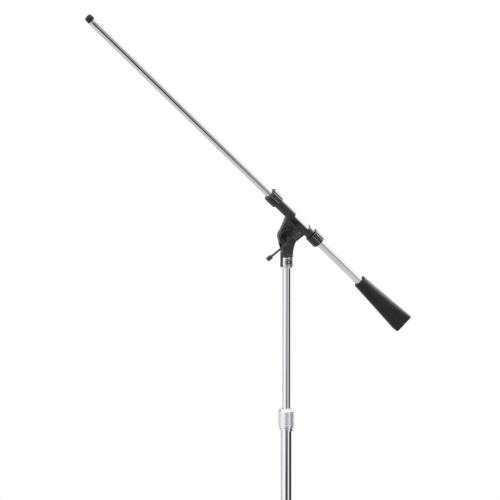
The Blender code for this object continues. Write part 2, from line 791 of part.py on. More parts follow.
def build_counterweight():
    """A loft from a round neck to a larger rounded square, bored for the tube."""
    count = MEDIUM + 8
    stations = 6
    far_corner = 5.5 * MM
    near_share = 0.7  # how quickly the round end's corner tightens
    mesh = bpy.data.meshes.new("counterweight")
    edit = bmesh.new()
    rings = []
    for i in range(stations):
        share = i / (stations - 1)
        height = WEIGHT_TOP + (WEIGHT_BOTTOM - WEIGHT_TOP) * share
        half = WEIGHT_SMALL_RADIUS + (WEIGHT_HALF_SIDE - WEIGHT_SMALL_RADIUS) * share
        corner = half * (1 - share) ** near_share + far_corner * share
        corner = min(corner, half * 0.999)
        outline = rounded_square(half, corner, count)
        rings.append([edit.verts.new((x, y, height)) for x, y in outline])
    for upper, lower in zip(rings, rings[1:]):
        for i in range(count):
            j = (i + 1) % count
            edit.faces.new((upper[i], lower[i], lower[j], upper[j]))
    edit.faces.new(rings[0])
    edit.faces.new(list(reversed(rings[-1])))
    edit.to_mesh(mesh)
    edit.free()
    weight = bpy.data.objects.new("counterweight", mesh)
    place(weight, BOOM_AXIS, BLACK_IRON)
    soften(weight, 1.6 * MM, 3, 50)
    bore = rod("weight_bore", BOOM_RADIUS + GAP, WEIGHT_TOP - 32 * MM, WEIGHT_TOP + 5 * MM,
               BOOM_AXIS, None, MEDIUM)
    cut(weight, bore)

    screw_height = WEIGHT_TOP - 14 * MM
    screw_axis = frame_empty("weight_screw_axis", (0, 0, screw_height), (0, -math.pi / 2, 0))
    screw_axis.parent = BOOM_AXIS
    radius = 2.5 * MM
    start = BOOM_RADIUS + GAP
    end = start + 4.6 * MM
    key = 1.35 * MM
    hole = rod("weight_screw_hole", radius + GAP, 6 * MM, 20 * MM, screw_axis, None, SMALL)
    cut(weight, hole)
    screw = rod("weight_screw", radius, start, end, screw_axis, STEEL, SMALL)
    socket = rod("weight_screw_socket", key, end - 2.2 * MM, end + 3.4 * MM, screw_axis, None, 6)
    cut(screw, socket)
    shade(weight)


tube_seat = build_base()
build_column(tube_seat)
build_swivel_socket()
build_cradle()
build_clamp()
build_grip("mic_side_grip", MIC_GRIP_INNER, 1)
build_grip("weight_side_grip", WEIGHT_GRIP_INNER, -1)
build_boom_tube()
build_counterweight()
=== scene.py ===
"""A boom microphone stand: chrome tubes, a black cast swivel and a cast counterweight on the boom."""

import json
import math

import bmesh
import bpy
from mathutils import Matrix, Vector


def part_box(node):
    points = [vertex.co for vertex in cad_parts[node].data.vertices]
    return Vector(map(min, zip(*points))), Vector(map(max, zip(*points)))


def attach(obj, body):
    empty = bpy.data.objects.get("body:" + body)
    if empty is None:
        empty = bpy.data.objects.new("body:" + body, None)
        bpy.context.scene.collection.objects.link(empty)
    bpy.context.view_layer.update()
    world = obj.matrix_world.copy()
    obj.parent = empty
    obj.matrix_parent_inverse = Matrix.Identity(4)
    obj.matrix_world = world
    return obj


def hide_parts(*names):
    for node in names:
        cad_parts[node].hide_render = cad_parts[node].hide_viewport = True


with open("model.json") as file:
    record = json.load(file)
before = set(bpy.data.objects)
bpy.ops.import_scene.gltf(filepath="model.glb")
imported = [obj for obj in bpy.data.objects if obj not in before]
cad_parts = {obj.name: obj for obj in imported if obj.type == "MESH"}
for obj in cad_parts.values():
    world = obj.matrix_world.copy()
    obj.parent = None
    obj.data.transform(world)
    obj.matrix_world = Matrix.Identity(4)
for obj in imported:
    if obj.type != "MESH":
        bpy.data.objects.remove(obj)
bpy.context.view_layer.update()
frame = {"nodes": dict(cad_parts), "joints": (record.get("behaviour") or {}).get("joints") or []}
joints = {joint["name"]: joint for joint in frame["joints"]}
MM = 0.001


# ---------------------------------------------------------------- camera
# The camera stands well back in front of the stand, a little to its left and above it.
# Its long lens takes in the boom, the swivel and the column down to the height clutch.

pivot = Vector(joints["boom_tilt"]["pos_m"])
camera_turn = math.radians(-16)
camera_rise = math.radians(13)
view_width = 0.940
pivot_right = 0.0690
pivot_above = 0.0255
lens = 600
sensor = 36


def toward(turn, rise):
    """A direction from its angle round from the front, to the right, and its angle above level."""
    return Vector((math.sin(turn) * math.cos(rise), -math.cos(turn) * math.cos(rise), math.sin(rise)))


toward_camera = toward(camera_turn, camera_rise)
camera_right = Vector((math.cos(camera_turn), math.sin(camera_turn), 0))
camera_up = toward_camera.cross(camera_right)
aim = pivot - pivot_right * camera_right - pivot_above * camera_up

camera = bpy.data.objects.new("camera", bpy.data.cameras.new("camera"))
camera.data.lens = lens
camera.data.sensor_width = sensor
camera.data.clip_start = 0.1
camera.data.clip_end = 100
camera.location = aim + toward_camera * view_width * lens / sensor
camera.rotation_mode = "QUATERNION"
camera.rotation_quaternion = toward_camera.to_track_quat("Z", "Y")
bpy.context.scene.collection.objects.link(camera)
bpy.context.scene.camera = camera
bpy.context.scene.view_settings.view_transform = "Standard"


# ---------------------------------------------------------------- studio light
# A white tent all round, with black and grey cards hung in front of it: bright metal and gloss
# paint get their shape from the cards' reflections. A strong softbox behind on the right lights
# only the black pieces, and gives them their crisp edge lights.


class Wire:
    """An output socket in shader arithmetic: each operation on it adds its Math node."""

    def __init__(self, tree, socket):
        self.tree = tree
        self.socket = socket

    def __add__(self, other):
        return self.tree.maths("ADD", self, other)

    def __sub__(self, other):
        return self.tree.maths("SUBTRACT", self, other)

    def __rsub__(self, other):
        return self.tree.maths("SUBTRACT", other, self)

    def __mul__(self, other):
        return self.tree.maths("MULTIPLY", self, other)

    def __abs__(self):
        return self.tree.maths("ABSOLUTE", self)

    __radd__ = __add__
    __rmul__ = __mul__


class Tree:
    """A node tree that is built one node at a time."""

    def __init__(self, tree):
        self.tree = tree

    def feed(self, socket, value):
        if isinstance(value, Wire):
            self.tree.links.new(value.socket, socket)
        else:
            socket.default_value = value

    def node(self, kind, settings=None, sockets=None, output=0):
        """A node of that type: its settings first, then the values or wires of its sockets."""
        made = self.tree.nodes.new("ShaderNode" + kind)
        for name, value in (settings or {}).items():
            setattr(made, name, value)
        for name, value in (sockets or {}).items():
            self.feed(made.inputs[name], value)
        return Wire(self, made.outputs[output])

    def maths(self, operation, *values):
        return self.node("Math", {"operation": operation}, dict(enumerate(values)))

    def step(self, value, start, end):
        """0 before start and 1 after end, with a smooth rise between them."""
        span = {"Value": value, "From Min": start, "From Max": end}
        return self.node("MapRange", {"interpolation_type": "SMOOTHSTEP"}, span)

    def parts(self, vector):
        """The three components of a vector."""
        split = self.node("SeparateXYZ", sockets={0: vector}).socket.node
        return [Wire(self, socket) for socket in split.outputs]

    def mix(self, factor, first, second):
        """A colour between two colours."""
        return self.node("Mix", {"data_type": "RGBA"}, {0: factor, 6: first, 7: second}, 2)


def band(value, middle, half, soft):
    """1 where a value is within half of the middle, and 0 outside that, with soft edges."""
    return tent.step(abs(value - middle), half + soft, half - soft)


def card(turn, rise, half_width, half_height, soft_width=4, soft_height=4):
    """1 inside a card of the tent and 0 outside it, all in degrees: turn from the front to the right."""
    across = tent.maths("WRAP", heading - turn, 180, -180)
    return band(across, 0, half_width, soft_width) * band(climb, rise, half_height, soft_height)


def hang(light, mask, level):
    """The light of the tent where a card of that brightness hangs in front of it."""
    return light + mask * (level - light)


world = bpy.data.worlds.new("studio")
world.use_nodes = True
world.node_tree.nodes.clear()
bpy.context.scene.world = world
tent = Tree(world.node_tree)

ray_x, ray_y, ray_z = tent.parts(tent.node("TexCoord", output="Generated"))
heading = tent.maths("DEGREES", tent.maths("ARCTAN2", ray_x, 0 - ray_y))
climb = tent.maths("DEGREES", tent.maths("ARCSINE", ray_z))

ceiling_glow = 0.25 * tent.step(climb, 45, 65)
floor_shade = tent.step(climb, -18, -36)
light = hang(1.0 + ceiling_glow, floor_shade, 0.68)

# Upright cards: two grey ones behind on the left, and in front a wide grey one with a black one.
for mask, level in (
    (card(-150, -62, 45, 22, 6, 6), 0.38),
    (card(-150, -5, 45, 40), 0.58),
    (card(-14, -11, 28, 8, 5, 2), 0.44),
    (card(-20, -20, 15, 6, 3, 0.6), 0.03),
):
    light = hang(light, mask, level)

# Two slanted cards on the line that the boom reflects: grey at the upper right, black at the
# lower left. Then two black cards low on the right.
slanted_along = heading + climb
slanted_across = climb - 0.94 * heading
grey_card = band(slanted_along, 30, 36, 8) * band(slanted_across, -24, 7, 3)
black_card = band(slanted_along, -36, 27, 3) * band(slanted_across, -20.8, 8.6, 1.5)
light = hang(light, grey_card, 0.38)
light = hang(light, black_card, 0.01)
light = hang(light, card(68, -16, 30, 12, 3, 3), 0.03)
light = hang(light, card(52, -55, 36, 20, 6, 6), 0.06)

tint = tent.node("CombineColor", sockets={0: light * 0.985, 1: light * 0.975, 2: light})
seen = tent.node("LightPath", output="Is Camera Ray")
backdrop = tent.node("Background", sockets={"Color": tent.mix(seen, tint, (1, 1, 1, 1))})
output = world.node_tree.nodes.new("ShaderNodeOutputWorld")
tent.feed(output.inputs["Surface"], backdrop)

softbox_distance = 4
softbox_size = (6.6, 2.5)
softbox_watts = 290
toward_softbox = toward(math.radians(110), math.radians(23))
softbox = bpy.data.objects.new("softbox", bpy.data.lights.new("softbox", "AREA"))
softbox.data.shape = "RECTANGLE"
softbox.data.size, softbox.data.size_y = softbox_size
softbox.data.energy = softbox_watts
softbox.data.color = (0.97, 0.96, 1.0)
softbox.location = pivot + toward_softbox * softbox_distance
softbox.rotation_mode = "QUATERNION"
softbox.rotation_quaternion = toward_softbox.to_track_quat("Z", "Y")
softbox.visible_camera = False
bpy.context.scene.collection.objects.link(softbox)
edge_lit = bpy.data.collections.new("edge_lit")
softbox.light_linking.receiver_collection = edge_lit


# ---------------------------------------------------------------- floor
# A matt white disc under the stand, which takes its soft shadow and fades into the tent. In
# reflections it is an even grey glow.

floor_radius = 1.6
shadow_radius = 0.35
fade_radius = 1.4

mesh = bmesh.new()
bmesh.ops.create_circle(mesh, cap_ends=True, segments=128, radius=floor_radius)
floor = bpy.data.objects.new("floor", bpy.data.meshes.new("floor"))
mesh.to_mesh(floor.data)
mesh.free()
bpy.context.scene.collection.objects.link(floor)


class Finish(Tree):
    """A surface finish: a material whose shader takes plain values and wires."""

    def __init__(self, name):
        self.material = bpy.data.materials.new(name)
        self.material.use_nodes = True
        super().__init__(self.material.node_tree)
        self.shader = self.tree.nodes["Principled BSDF"]

    def surface(self, sockets):
        for name, value in sockets.items():
            self.feed(self.shader.inputs[name], value)

    def spot(self, stretch=(1, 1, 1)):
        """The place on the piece in metres, stretched along the piece's own axes."""
        place = self.node("TexCoord", output="Object")
        return self.node("VectorMath", {"operation": "MULTIPLY"}, {0: place, 1: stretch})

    def noise(self, scale, detail=2, stretch=(1, 1, 1), rough=0.5):
        sockets = {"Vector": self.spot(stretch), "Scale": scale, "Detail": detail, "Roughness": rough}
        return self.node("TexNoise", sockets=sockets)

    def bump(self, height, strength, depth):
        sockets = {"Height": height, "Strength": strength, "Distance": depth}
        return self.node("Bump", sockets=sockets)


matt_white = Finish("matt_white")
spread = matt_white.node("VectorMath", {"operation": "LENGTH"}, {0: matt_white.spot()}, "Value")
fade = matt_white.step(spread, shadow_radius, fade_radius)
seen_directly = matt_white.node("LightPath", output="Is Camera Ray")
paper = matt_white.node("BsdfDiffuse", sockets={0: (0.92, 0.92, 0.92, 1)})
glow = matt_white.node("Emission", sockets={0: (1, 1, 1, 1)})
grey_glow = matt_white.node("Emission", sockets={0: (0.62, 0.61, 0.63, 1)})
faded = matt_white.node("MixShader", sockets={0: fade, 1: paper, 2: glow})
floor_look = matt_white.node("MixShader", sockets={0: seen_directly, 1: grey_glow, 2: faded})
matt_white.feed(matt_white.tree.nodes["Material Output"].inputs["Surface"], floor_look)
floor.data.materials.append(matt_white.material)


# ---------------------------------------------------------------- base
# A heavy round iron casting, turned on its rim and painted satin black, on a rubber pad. A stud
# through its hub screws into the lower tube and is drawn up by a nut and washer underneath.


def rounded(corners, closed=False, steps=4):
    """Profile points from corners of (radius, height, fillet), each fillet a smooth curve."""
    points = []
    for i, (radius, height, fillet) in enumerate(corners):
        here = Vector((radius, height))
        if fillet == 0 or (not closed and i in (0, len(corners) - 1)):
            points.append((radius, height))
            continue
        back = Vector(corners[i - 1][:2]) - here
        ahead = Vector(corners[(i + 1) % len(corners)][:2]) - here
        reach = fillet / math.tan(back.angle(ahead) / 2)
        reach = min(reach, 0.48 * back.length, 0.48 * ahead.length)
        start = here + back.normalized() * reach
        end = here + ahead.normalized() * reach
        for k in range(steps + 1):
            t = k / steps
            point = (1 - t) ** 2 * start + 2 * t * (1 - t) * here + t**2 * end
            points.append((point.x, point.y))
    return guarded(points, closed)


def guarded(points, closed, gap=0.4 * MM):
    """The profile with a ring near both ends of each long straight run, which keeps its shading true."""
    rings = []
    followers = points[1:] + points[:1] if closed else points[1:]
    for here, ahead in zip(points, followers):
        rings.append(here)
        share = gap / max(math.dist(here, ahead), gap)
        for t in (share, 1 - share) if share < 0.1 else ():
            rings.append(tuple(Vector(here).lerp(Vector(ahead), t)))
    return rings if closed else rings + points[-1:]


def turn(mesh, profile, sides, place=Matrix(), shape=None, closed=False):
    """Turns a profile, top to bottom on its outer side, about local Z. shape changes its radii."""
    rows = []
    for radius, height in profile:
        row = []
        for i in range(sides if radius > 1e-6 else 1):
            angle = math.tau * i / sides
            reach = shape(radius, height, angle) if shape else radius
            row.append(mesh.verts.new(place @ Vector((
                reach * math.cos(angle), reach * math.sin(angle), height))))
        rows.append(row)
    followers = rows[1:] + rows[:1] if closed else rows[1:]
    for upper, lower in zip(rows, followers):
        for i in range(sides):
            j = (i + 1) % sides
            left = (upper[i % len(upper)], lower[i % len(lower)])
            right = (lower[j % len(lower)], upper[j % len(upper)])
            face = list(dict.fromkeys(left + right))
            if len(face) > 2:
                mesh.faces.new(face)


def piece(name, mesh, place, finish, crease=35):
    """An object from a mesh in the frame place, shaded smooth but for edges sharper than crease."""
    obj = bpy.data.objects.new(name, bpy.data.meshes.new(name))
    mesh.to_mesh(obj.data)
    mesh.free()
    obj.matrix_world = place
    bpy.context.scene.collection.objects.link(obj)
    obj.data.materials.append(finish.material)
    smooth(obj, crease)
    return obj


def smooth(obj, crease=35):
    obj.data.shade_smooth()
    obj.data.set_sharp_from_angle(angle=math.radians(crease))


def turned(name, profile, finish, place=Matrix(), sides=96, shape=None, closed=True, crease=35):
    mesh = bmesh.new()
    turn(mesh, profile, sides, shape=shape, closed=closed)
    return piece(name, mesh, place, finish, crease)


def fit(obj, body, slot, *nodes):
    """The piece moves with a body and stands for CAD nodes; a slot that starts with black puts it in the
    softbox's light.
    """
    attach(obj, body)
    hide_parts(*nodes)
    if slot.startswith("black"):
        edge_lit.objects.link(obj)


def dress(finish, *nodes):
    """A finish on CAD nodes that are shown as they are."""
    for node in nodes:
        frame["nodes"][node].material_slots[0].material = finish.material


def extent(node, place):
    """Lowest and highest corner of a CAD node in the axes of a frame."""
    inverse = place.inverted()
    corners = [inverse @ vertex.co for vertex in frame["nodes"][node].data.vertices]
    low = Vector([min(corner[i] for corner in corners) for i in range(3)])
    high = Vector([max(corner[i] for corner in corners) for i in range(3)])
    return low, high


def iron_paint(name, shade, roughness, grain, depth, worn, gloss=0.5):
    """Black paint on rough iron: its grain shows through, and the edges are rubbed to dark metal."""
    paint = Finish(name)
    sand = paint.noise(grain, 4, rough=0.6)
    swell = paint.noise(grain / 12, 2)
    edge = paint.node("NewGeometry", output="Pointiness")
    rubbed = paint.step(edge + 0.06 * sand, 0.56, 0.64) * worn
    black = (*(level * shade for level in (1.0, 1.03, 1.0)), 1)
    dusty = (*(level * shade * 1.3 for level in (1.0, 1.02, 1.0)), 1)
    base = paint.mix(paint.step(swell, 0.35, 0.75), black, dusty)
    paint.surface({
        "Base Color": paint.mix(rubbed, base, (0.16, 0.155, 0.15, 1)),
        "Roughness": roughness + 0.18 * (swell - 0.5) - 0.1 * rubbed,
        "Metallic": 0.8 * rubbed,
        "Specular IOR Level": gloss,
        "Normal": paint.bump(sand + 0.6 * swell, 0.3, depth),
    })
    return paint


base_paint = iron_paint("satin_iron_paint", 0.013, 0.36, 900, 0.00025, 0.5)
tube_low, tube_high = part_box("lower_tube")
base_low, base_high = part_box("base_casting")
base_radius = base_high.x
seat_radius = tube_high.x + 0.3 * MM
hub_radius = 21 * MM
crown_start = hub_radius + 2 * MM
crown_end = base_radius - 6 * MM
rim_top = base_low.z + 9 * MM
recess_top = base_low.z + 5 * MM
pocket_radius = 17 * MM
pocket_top = base_low.z + 12 * MM
stud_bore = 7.85 * MM
seat_floor = base_high.z - 8 * MM


def crown_height(share):
    """The crown's height above the rim, from the hub (0) to the rim (1), with a turned bead."""
    bead = math.exp(-(((share - 0.86) / 0.018) ** 2))
    return rim_top + 13.7 * MM * (1 - share) ** 2.0 + 0.5 * MM * bead


crown_steps = 60
crown = [
    (crown_start + (crown_end - crown_start) * i / crown_steps, crown_height(i / crown_steps), 0)
    for i in range(1, crown_steps + 1)
]
corners = [
    (seat_radius, base_high.z, 0.4 * MM),
    (hub_radius - 0.5 * MM, base_high.z, 1.8 * MM),
    (hub_radius, base_high.z - 5 * MM, 3 * MM),
    (crown_start, crown_height(0) - 0.5 * MM, 3 * MM),
    *crown,
    (base_radius - 1.2 * MM, rim_top - 0.4 * MM, 2.5 * MM),
    (base_radius, rim_top - 4 * MM, 2.5 * MM),
    (base_radius, base_low.z, 1.5 * MM),
    (base_radius - 14 * MM, base_low.z, 1 * MM),
    (base_radius - 18 * MM, recess_top, 2 * MM),
    (24 * MM, recess_top, 1.5 * MM),
    (22 * MM, base_low.z, 0.8 * MM),
    (pocket_radius, base_low.z, 0.8 * MM),
    (pocket_radius, pocket_top, 0.8 * MM),
    (stud_bore, pocket_top, 0.3 * MM),
    (stud_bore, seat_floor, 0.3 * MM),
    (seat_radius, seat_floor, 0.3 * MM),
]
base = turned("cast_base", rounded(corners, closed=True), base_paint, sides=192)
fit(base, "base", "black_iron", "base_casting")

rubber = Finish("ribbed_rubber")
rubber_grain = rubber.noise(2600, 3)
rubber_dust = rubber.noise(60, 3)
dusty_patches = rubber.step(rubber_dust, 0.4, 0.75)
rubber.surface({
    "Base Color": rubber.mix(dusty_patches, (0.018, 0.018, 0.018, 1), (0.04, 0.039, 0.037, 1)),
    "Roughness": 0.78 + 0.15 * (rubber_grain - 0.5),
    "Normal": rubber.bump(rubber_grain, 0.4, 0.0002),
})
pad_low, pad_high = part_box("base_pad")
rib_pitch = 6 * MM
rib_count = 18
rib_depth = 0.7 * MM
corners = [(0, pad_high.z, 0), (pad_high.x, pad_high.z, 0.7 * MM), (pad_high.x, pad_low.z, 0.7 * MM)]
for i in range(rib_count):
    rib = pad_high.x - 8 * MM - rib_pitch * i
    corners += [
        (rib, pad_low.z, 0.2 * MM),
        (rib - 0.6 * MM, pad_low.z + rib_depth, 0.2 * MM),
        (rib - 1.8 * MM, pad_low.z + rib_depth, 0.2 * MM),
        (rib - 2.4 * MM, pad_low.z, 0.2 * MM),
    ]
corners.append((0, pad_low.z, 0))
pad = turned("rubber_pad", rounded(corners), rubber, sides=160, closed=False)
fit(pad, "base", "rubber", "base_pad")

zinc_steel = Finish("zinc_steel")
spangle = zinc_steel.noise(700, 3)
turning = zinc_steel.noise(5000, 2, (1, 1, 0.05))
zinc_steel.surface({
    "Base Color": zinc_steel.mix(spangle, (0.46, 0.46, 0.45, 1), (0.62, 0.62, 0.60, 1)),
    "Metallic": 1.0,
    "Roughness": 0.28 + 0.16 * spangle,
    "Normal": zinc_steel.bump(turning, 0.2, 0.0001),
})
dress(zinc_steel, "base_stud", "base_washer", "base_nut")


# ---------------------------------------------------------------- lower tube
# The thick half of the column: steel tube, polished and chromed. Its foot stands in the base's
# hub, where a coned chrome ring is screwed down on it and stops it from working loose.


def plated(name, polish, haze, wave):
    """Chrome on polished steel, with a little haze, long polishing lines and faint waviness."""
    chrome = Finish(name)
    cloud = chrome.noise(90, 3)
    lines = chrome.noise(2200, 2, (1, 1, 0.02))
    swell = chrome.noise(120, 1, (1, 1, 0.12))
    chrome.surface({
        "Base Color": chrome.mix(cloud, (0.90, 0.895, 0.91, 1), (0.95, 0.95, 0.955, 1)),
        "Metallic": 1.0,
        "Roughness": polish + haze * chrome.step(cloud, 0.35, 0.8) + 0.02 * lines,
        "Normal": chrome.bump(swell, 0.2, wave),
    })
    return chrome


tube_chrome = plated("tube_chrome", 0.03, 0.03, 0.00002)
lower_radius = tube_high.x
lower_bore = lower_radius - 1.3 * MM
corners = [
    (lower_radius, tube_high.z, 0.4 * MM),
    (lower_radius, tube_low.z, 0.4 * MM),
    (lower_bore, tube_low.z, 0.3 * MM),
    (lower_bore, tube_high.z, 0.4 * MM),
]
lower_tube = turned("thick_tube", rounded(corners, closed=True), tube_chrome, sides=128)
fit(lower_tube, "base", "chrome", "lower_tube")

ring_low, ring_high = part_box("base_lock_ring")
ring_bore = lower_radius + 0.3 * MM
notch_count = 40


def milled(radius, height, angle):
    """Fine upright notches round the lock ring's widest band."""
    notched = ring_low.z + 0.8 * MM < height < ring_low.z + 3.4 * MM and radius > ring_bore + 2 * MM
    return radius - 0.35 * MM * (0.5 + 0.5 * math.cos(notch_count * angle)) if notched else radius


corners = [
    (ring_bore, ring_high.z, 0.4 * MM),
    (14 * MM, ring_high.z, 1.5 * MM),
    (17.2 * MM, ring_low.z + 4.2 * MM, 1.2 * MM),
    (17.5 * MM, ring_low.z + 3.3 * MM, 0.1 * MM),
    (17.5 * MM, ring_low.z + 0.9 * MM, 0.1 * MM),
    (17.0 * MM, ring_low.z, 0.3 * MM),
    (ring_bore, ring_low.z, 0.3 * MM),
]
lock_ring = turned("coned_lock_ring", rounded(corners, closed=True), tube_chrome, sides=240, shape=milled)
fit(lock_ring, "base", "chrome", "base_lock_ring")


# ---------------------------------------------------------------- height clutch
# A threaded sleeve is pressed on the lower tube. The chromed grip screws on it and squeezes a
# split nylon bush on the upper tube. The grip is satin finished, with polished rims.

body_low, body_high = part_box("clutch_body")
grip_low, grip_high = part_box("clutch_grip")
thread_radius = 12.4 * MM
corners = [
    (lower_radius + 0.3 * MM, body_high.z, 0.3 * MM),
    (thread_radius, body_high.z, 0.6 * MM),
]
thread_pitch = 1.2 * MM
thread_turns = 11
collar_top = body_low.z + 5 * MM
for i in range(thread_turns):
    crest = body_high.z - 1.4 * MM - thread_pitch * i
    corners += [
        (thread_radius - 0.5 * MM, crest + 0.5 * thread_pitch, 0.1 * MM),
        (thread_radius, crest, 0.1 * MM),
    ]
corners += [
    (thread_radius - 0.3 * MM, collar_top, 0.2 * MM),
    (body_high.x, collar_top, 0.5 * MM),
    (body_high.x, body_low.z, 1.0 * MM),
    (lower_radius + 0.3 * MM, body_low.z, 0.3 * MM),
]
clutch_body = turned("clutch_sleeve", rounded(corners, closed=True), tube_chrome, sides=128)
fit(clutch_body, "base", "chrome", "clutch_body")

upper_low, upper_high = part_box("upper_tube")
upper_radius = upper_high.x
slide_gap = 0.35 * MM
neck_bore = upper_radius + slide_gap
grip_radius = grip_high.x
satin_top = grip_high.z - 5.5 * MM
satin_bottom = grip_low.z + 3 * MM
satin_middle = (satin_top + satin_bottom) / 2
satin_half = (satin_top - satin_bottom) / 2
satin_fade = 0.6 * MM
corners = [
    (neck_bore, grip_high.z, 0.3 * MM),
    (12.4 * MM, grip_high.z, 1.0 * MM),
    (13.7 * MM, grip_high.z - 1.2 * MM, 1.0 * MM),
    (grip_radius, grip_high.z - 4.6 * MM, 1.6 * MM),
    (grip_radius, grip_low.z + 1.6 * MM, 0.8 * MM),
    (grip_radius - 1.2 * MM, grip_low.z, 0.5 * MM),
    (thread_radius + 0.3 * MM, grip_low.z, 0.2 * MM),
    (thread_radius + 0.3 * MM, body_high.z + 2 * MM, 0.5 * MM),
    (11.5 * MM, body_high.z + 4 * MM, 0.5 * MM),
    (11.5 * MM, grip_high.z - 10 * MM, 0.5 * MM),
    (neck_bore, grip_high.z - 3.8 * MM, 0.3 * MM),
]
satin = Finish("satin_chrome")
satin_height = satin.parts(satin.spot())[2]
blasted = satin.step(
    abs(satin_height - satin_middle), satin_half + satin_fade, satin_half - satin_fade)
bead = satin.noise(1500, 3)
long_lines = satin.noise(1800, 2, (1, 1, 0.03))
satin.surface({
    "Base Color": satin.mix(bead, (0.90, 0.90, 0.92, 1), (0.95, 0.95, 0.96, 1)),
    "Metallic": 1 - 0.45 * blasted,
    "Roughness": 0.04 + blasted * (0.13 + 0.06 * bead),
    "Normal": satin.bump(bead + long_lines, 0.03, 0.00002),
})
clutch_grip = turned("satin_clutch_grip", rounded(corners, closed=True), satin, sides=160, crease=50)
fit(clutch_grip, "height_clutch", "chrome", "clutch_grip")

nylon = Finish("natural_nylon")
milky = nylon.noise(150, 3)
nylon.surface({
    "Base Color": nylon.mix(milky, (0.60, 0.58, 0.52, 1), (0.72, 0.70, 0.64, 1)),
    "Roughness": 0.42 + 0.2 * milky,
    "Normal": nylon.bump(nylon.noise(1800, 2), 0.2, 0.0001),
})
dress(nylon, "clutch_bush", "tube_glide")


# ---------------------------------------------------------------- upper tube
# The thin half of the column, chromed like the lower one, slides in it on a nylon glide. The
# swivel screws on a threaded stud in its top.

upper_bore = upper_radius - 1.2 * MM
corners = [
    (upper_radius, upper_high.z, 0.4 * MM),
    (upper_radius, upper_low.z, 0.4 * MM),
    (upper_bore, upper_low.z, 0.3 * MM),
    (upper_bore, upper_high.z, 0.3 * MM),
]
upper_tube = turned("thin_tube", rounded(corners, closed=True), tube_chrome, sides=128)
fit(upper_tube, "upper_column", "chrome", "upper_tube")
dress(zinc_steel, "top_stud")


# ---------------------------------------------------------------- swivel socket
# A zinc casting in gloss black enamel: a round socket below, a flat neck and two cheeks that
# hold the cradle's tongue. It is cast in one, so every corner is rounded, and then bored.


def prism(mesh, outline, low, high, place=Matrix()):
    """A flat outline of (x, z) points, made solid along Y between low and high."""
    floor_ring = [mesh.verts.new(place @ Vector((x, high, z))) for x, z in outline]
    roof_ring = [mesh.verts.new(place @ Vector((x, low, z))) for x, z in outline]
    mesh.faces.new(roof_ring)
    mesh.faces.new(list(reversed(floor_ring)))
    for i in range(len(outline)):
        j = (i + 1) % len(outline)
        mesh.faces.new((roof_ring[j], roof_ring[i], floor_ring[i], floor_ring[j]))


def roll(mesh, face, width):
    """Rounds the outline's edges on both faces of a prism."""
    edges = [edge for edge in mesh.edges if all(abs(abs(v.co.y) - face) < 1e-6 for v in edge.verts)
             and edge.verts[0].co.y * edge.verts[1].co.y > 0]
    bmesh.ops.bevel(mesh, geom=edges, offset=width, segments=5, profile=0.5, affect="EDGES")


def arc(radius, start, end, count, middle=(0, 0)):
    """Points on an arc between two angles in degrees."""
    angles = [math.radians(start + (end - start) * i / (count - 1)) for i in range(count)]
    return [(middle[0] + radius * math.cos(a), middle[1] + radius * math.sin(a)) for a in angles]


def settle(obj):
    """Makes the piece's modifiers part of its mesh."""
    bpy.context.view_layer.update()
    evaluated = obj.evaluated_get(bpy.context.evaluated_depsgraph_get())
    mesh = bpy.data.meshes.new_from_object(evaluated)
    obj.modifiers.clear()
    obj.data = mesh


def fuse(obj, grain, passes):
    """Fuses the piece's overlapping solids into one skin and rounds its inner and outer corners."""
    skin = obj.modifiers.new("skin", "REMESH")
    skin.mode = "VOXEL"
    skin.voxel_size = grain
    skin.use_smooth_shade = True
    rounding = obj.modifiers.new("rounding", "SMOOTH")
    rounding.factor = 0.5
    rounding.iterations = passes
    settle(obj)


def carve(obj, *cutters):
    """Cuts the solids of each mesh out of the piece, in the piece's own frame."""
    for cutter in cutters:
        tool = bpy.data.objects.new("tool", bpy.data.meshes.new("tool"))
        bmesh.ops.recalc_face_normals(cutter, faces=cutter.faces)
        cutter.to_mesh(tool.data)
        cutter.free()
        tool.matrix_world = obj.matrix_world
        bpy.context.scene.collection.objects.link(tool)
        cut = obj.modifiers.new("cut", "BOOLEAN")
        cut.operation = "DIFFERENCE"
        cut.solver = "EXACT"
        cut.object = tool
        settle(obj)
        bpy.data.objects.remove(tool)


def drill(radius, start, end, place=Matrix(), sides=64):
    """A round cutter along local Z of a frame."""
    mesh = bmesh.new()
    turn(mesh, [(0, end), (radius, end), (radius, start), (0, start)], sides, place)
    return mesh


def mill(outline, low, high, place=Matrix()):
    """A flat cutter of (x, z) points between two depths."""
    mesh = bmesh.new()
    prism(mesh, outline, low, high, place)
    return mesh


def enamel(name, shade, peel):
    """Gloss black enamel with orange peel, faint dust and edges rubbed to grey metal."""
    gloss = Finish(name)
    skin = gloss.noise(1100, 2)
    cloud = gloss.noise(70, 3)
    edge = gloss.node("NewGeometry", output="Pointiness")
    rubbed = gloss.step(edge + 0.05 * skin, 0.60, 0.70) * 0.35
    black = (shade, shade * 1.03, shade * 1.02, 1)
    dusty = (shade * 1.3, shade * 1.32, shade * 1.3, 1)
    base = gloss.mix(gloss.step(cloud, 0.4, 0.8), black, dusty)
    gloss.surface({
        "Base Color": gloss.mix(rubbed, base, (0.10, 0.10, 0.10, 1)),
        "Roughness": 0.30 + 0.12 * (cloud - 0.5),
        "Coat Weight": 0.55 + 0.2 * (0.5 - cloud),
        "Coat Roughness": 0.10,
        "Normal": gloss.bump(skin, 0.25, peel),
    })
    return gloss


cast_enamel = enamel("black_enamel", 0.007, 0.00004)
swivel_frame = Matrix.Translation(pivot)
swivel_low, swivel_high = extent("swivel_socket", swivel_frame)
cheek_radius = swivel_high.z
socket_radius = 12.2 * MM
socket_bottom = swivel_low.z
cheek_outer = 10.4 * MM
cheek_inner = 7.7 * MM
waist = 10.0 * MM
neck_top = -20 * MM
socket_top = -28.4 * MM
neck_foot = -32.5 * MM
slot_bottom = -23 * MM

